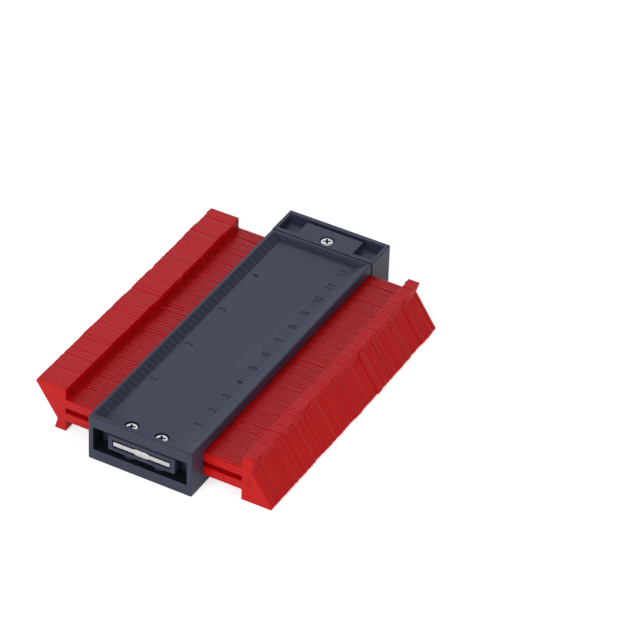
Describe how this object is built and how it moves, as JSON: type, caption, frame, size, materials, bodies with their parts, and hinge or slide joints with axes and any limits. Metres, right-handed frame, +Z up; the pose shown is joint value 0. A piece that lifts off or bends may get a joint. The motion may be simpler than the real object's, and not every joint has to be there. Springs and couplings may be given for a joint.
{
  "type": "contour gauge",
  "caption": "Contour gauge: a comb of thin red plastic laminae with pointed ends sliding through a flat slate-blue body with a scale tray, an end cap and a magnet at each end.",
  "frame": {"origin": "middle of the body's flat underside", "axes": "+X along the laminae, +Y along the body from the open front to the end cap, +Z up"},
  "size_m": [0.1038, 0.1528, 0.0203],
  "materials": {
    "body_plastic": "fine satin moulded plastic",
    "lamina_plastic": "satin moulded plastic",
    "steel": "bright cold-rolled strip",
    "nickel": "nickel-plated magnet",
    "zinc": "bright zinc plate",
    "felt": "pressed felt"
  },
  "bodies": {
    "gauge_body": {"body_frame": "body_plastic", "end_cap": "body_plastic", "magnet_holder": "body_plastic", "spine_bar": "steel", "front_magnet": "nickel", "rear_magnet": "nickel", "front_screw_left": "zinc", "front_screw_right": "zinc", "rear_screw": "zinc", "upper_felt": "felt", "lower_felt": "felt"},
    "pair_01": {"lamina_pair_01": "lamina_plastic"},
    "pair_02": {"lamina_pair_02": "lamina_plastic"},
    "pair_03": {"lamina_pair_03": "lamina_plastic"},
    "pair_04": {"lamina_pair_04": "lamina_plastic"},
    "pair_05": {"lamina_pair_05": "lamina_plastic"},
    "pair_06": {"lamina_pair_06": "lamina_plastic"},
    "pair_07": {"lamina_pair_07": "lamina_plastic"},
    "pair_08": {"lamina_pair_08": "lamina_plastic"},
    "pair_09": {"lamina_pair_09": "lamina_plastic"},
    "pair_10": {"lamina_pair_10": "lamina_plastic"},
    "pair_11": {"lamina_pair_11": "lamina_plastic"},
    "pair_12": {"lamina_pair_12": "lamina_plastic"},
    "pair_13": {"lamina_pair_13": "lamina_plastic"},
    "pair_14": {"lamina_pair_14": "lamina_plastic"},
    "pair_15": {"lamina_pair_15": "lamina_plastic"},
    "pair_16": {"lamina_pair_16": "lamina_plastic"},
    "pair_17": {"lamina_pair_17": "lamina_plastic"},
    "pair_18": {"lamina_pair_18": "lamina_plastic"},
    "pair_19": {"lamina_pair_19": "lamina_plastic"},
    "pair_20": {"lamina_pair_20": "lamina_plastic"},
    "pair_21": {"lamina_pair_21": "lamina_plastic"},
    "pair_22": {"lamina_pair_22": "lamina_plastic"},
    "pair_23": {"lamina_pair_23": "lamina_plastic"},
    "pair_24": {"lamina_pair_24": "lamina_plastic"},
    "pair_25": {"lamina_pair_25": "lamina_plastic"},
    "pair_26": {"lamina_pair_26": "lamina_plastic"},
    "pair_27": {"lamina_pair_27": "lamina_plastic"},
    "pair_28": {"lamina_pair_28": "lamina_plastic"},
    "pair_29": {"lamina_pair_29": "lamina_plastic"},
    "pair_30": {"lamina_pair_30": "lamina_plastic"},
    "pair_31": {"lamina_pair_31": "lamina_plastic"},
    "pair_32": {"lamina_pair_32": "lamina_plastic"},
    "pair_33": {"lamina_pair_33": "lamina_plastic"},
    "pair_34": {"lamina_pair_34": "lamina_plastic"},
    "pair_35": {"lamina_pair_35": "lamina_plastic"},
    "pair_36": {"lamina_pair_36": "lamina_plastic"},
    "pair_37": {"lamina_pair_37": "lamina_plastic"},
    "pair_38": {"lamina_pair_38": "lamina_plastic"},
    "pair_39": {"lamina_pair_39": "lamina_plastic"},
    "pair_40": {"lamina_pair_40": "lamina_plastic"},
    "pair_41": {"lamina_pair_41": "lamina_plastic"},
    "pair_42": {"lamina_pair_42": "lamina_plastic"},
    "pair_43": {"lamina_pair_43": "lamina_plastic"}
  },
  "joints": [
    {"name": "pair_01_slide", "type": "slide", "parent": "gauge_body", "child": "pair_01", "axis": [1, 0, 0], "range_m": [-0.01595, 0.01505]},
    {"name": "pair_02_slide", "type": "slide", "parent": "gauge_body", "child": "pair_02", "axis": [1, 0, 0], "range_m": [-0.01597, 0.01503]},
    {"name": "pair_03_slide", "type": "slide", "parent": "gauge_body", "child": "pair_03", "axis": [1, 0, 0], "range_m": [-0.016, 0.015]},
    {"name": "pair_04_slide", "type": "slide", "parent": "gauge_body", "child": "pair_04", "axis": [1, 0, 0], "range_m": [-0.01603, 0.01498]},
    {"name": "pair_05_slide", "type": "slide", "parent": "gauge_body", "child": "pair_05", "axis": [1, 0, 0], "range_m": [-0.01605, 0.01495]},
    {"name": "pair_06_slide", "type": "slide", "parent": "gauge_body", "child": "pair_06", "axis": [1, 0, 0], "range_m": [-0.01607, 0.01493]},
    {"name": "pair_07_slide", "type": "slide", "parent": "gauge_body", "child": "pair_07", "axis": [1, 0, 0], "range_m": [-0.0161, 0.0149]},
    {"name": "pair_08_slide", "type": "slide", "parent": "gauge_body", "child": "pair_08", "axis": [1, 0, 0], "range_m": [-0.01612, 0.01488]},
    {"name": "pair_09_slide", "type": "slide", "parent": "gauge_body", "child": "pair_09", "axis": [1, 0, 0], "range_m": [-0.01614, 0.01486]},
    {"name": "pair_10_slide", "type": "slide", "parent": "gauge_body", "child": "pair_10", "axis": [1, 0, 0], "range_m": [-0.01617, 0.01483]},
    {"name": "pair_11_slide", "type": "slide", "parent": "gauge_body", "child": "pair_11", "axis": [1, 0, 0], "range_m": [-0.01619, 0.01481]},
    {"name": "pair_12_slide", "type": "slide", "parent": "gauge_body", "child": "pair_12", "axis": [1, 0, 0], "range_m": [-0.01606, 0.01494]},
    {"name": "pair_13_slide", "type": "slide", "parent": "gauge_body", "child": "pair_13", "axis": [1, 0, 0], "range_m": [-0.01608, 0.01492]},
    {"name": "pair_14_slide", "type": "slide", "parent": "gauge_body", "child": "pair_14", "axis": [1, 0, 0], "range_m": [-0.01625, 0.01475]},
    {"name": "pair_15_slide", "type": "slide", "parent": "gauge_body", "child": "pair_15", "axis": [1, 0, 0], "range_m": [-0.01638, 0.01462]},
    {"name": "pair_16_slide", "type": "slide", "parent": "gauge_body", "child": "pair_16", "axis": [1, 0, 0], "range_m": [-0.01629, 0.01471]},
    {"name": "pair_17_slide", "type": "slide", "parent": "gauge_body", "child": "pair_17", "axis": [1, 0, 0], "range_m": [-0.01631, 0.01469]},
    {"name": "pair_18_slide", "type": "slide", "parent": "gauge_body", "child": "pair_18", "axis": [1, 0, 0], "range_m": [-0.01642, 0.01458]},
    {"name": "pair_19_slide", "type": "slide", "parent": "gauge_body", "child": "pair_19", "axis": [1, 0, 0], "range_m": [-0.01634, 0.01466]},
    {"name": "pair_20_slide", "type": "slide", "parent": "gauge_body", "child": "pair_20", "axis": [1, 0, 0], "range_m": [-0.01627, 0.01473]},
    {"name": "pair_21_slide", "type": "slide", "parent": "gauge_body", "child": "pair_21", "axis": [1, 0, 0], "range_m": [-0.01637, 0.01463]},
    {"name": "pair_22_slide", "type": "slide", "parent": "gauge_body", "child": "pair_22", "axis": [1, 0, 0], "range_m": [-0.01656, 0.01443]},
    {"name": "pair_23_slide", "type": "slide", "parent": "gauge_body", "child": "pair_23", "axis": [1, 0, 0], "range_m": [-0.01658, 0.01442]},
    {"name": "pair_24_slide", "type": "slide", "parent": "gauge_body", "child": "pair_24", "axis": [1, 0, 0], "range_m": [-0.01641, 0.01459]},
    {"name": "pair_25_slide", "type": "slide", "parent": "gauge_body", "child": "pair_25", "axis": [1, 0, 0], "range_m": [-0.01642, 0.01458]},
    {"name": "pair_26_slide", "type": "slide", "parent": "gauge_body", "child": "pair_26", "axis": [1, 0, 0], "range_m": [-0.01643, 0.01457]},
    {"name": "pair_27_slide", "type": "slide", "parent": "gauge_body", "child": "pair_27", "axis": [1, 0, 0], "range_m": [-0.01644, 0.01456]},
    {"name": "pair_28_slide", "type": "slide", "parent": "gauge_body", "child": "pair_28", "axis": [1, 0, 0], "range_m": [-0.01682, 0.01418]},
    {"name": "pair_29_slide", "type": "slide", "parent": "gauge_body", "child": "pair_29", "axis": [1, 0, 0], "range_m": [-0.01646, 0.01455]},
    {"name": "pair_30_slide", "type": "slide", "parent": "gauge_body", "child": "pair_30", "axis": [1, 0, 0], "range_m": [-0.01646, 0.01454]},
    {"name": "pair_31_slide", "type": "slide", "parent": "gauge_body", "child": "pair_31", "axis": [1, 0, 0], "range_m": [-0.01647, 0.01453]},
    {"name": "pair_32_slide", "type": "slide", "parent": "gauge_body", "child": "pair_32", "axis": [1, 0, 0], "range_m": [-0.01647, 0.01453]},
    {"name": "pair_33_slide", "type": "slide", "parent": "gauge_body", "child": "pair_33", "axis": [1, 0, 0], "range_m": [-0.01648, 0.01452]},
    {"name": "pair_34_slide", "type": "slide", "parent": "gauge_body", "child": "pair_34", "axis": [1, 0, 0], "range_m": [-0.01648, 0.01452]},
    {"name": "pair_35_slide", "type": "slide", "parent": "gauge_body", "child": "pair_35", "axis": [1, 0, 0], "range_m": [-0.01648, 0.01452]},
    {"name": "pair_36_slide", "type": "slide", "parent": "gauge_body", "child": "pair_36", "axis": [1, 0, 0], "range_m": [-0.01649, 0.01451]},
    {"name": "pair_37_slide", "type": "slide", "parent": "gauge_body", "child": "pair_37", "axis": [1, 0, 0], "range_m": [-0.0162, 0.0148]},
    {"name": "pair_38_slide", "type": "slide", "parent": "gauge_body", "child": "pair_38", "axis": [1, 0, 0], "range_m": [-0.0162, 0.0148]},
    {"name": "pair_39_slide", "type": "slide", "parent": "gauge_body", "child": "pair_39", "axis": [1, 0, 0], "range_m": [-0.01621, 0.0148]},
    {"name": "pair_40_slide", "type": "slide", "parent": "gauge_body", "child": "pair_40", "axis": [1, 0, 0], "range_m": [-0.0165, 0.0145]},
    {"name": "pair_41_slide", "type": "slide", "parent": "gauge_body", "child": "pair_41", "axis": [1, 0, 0], "range_m": [-0.0165, 0.0145]},
    {"name": "pair_42_slide", "type": "slide", "parent": "gauge_body", "child": "pair_42", "axis": [1, 0, 0], "range_m": [-0.0165, 0.0145]},
    {"name": "pair_43_slide", "type": "slide", "parent": "gauge_body", "child": "pair_43", "axis": [1, 0, 0], "range_m": [-0.01618, 0.01482]}
  ]
}
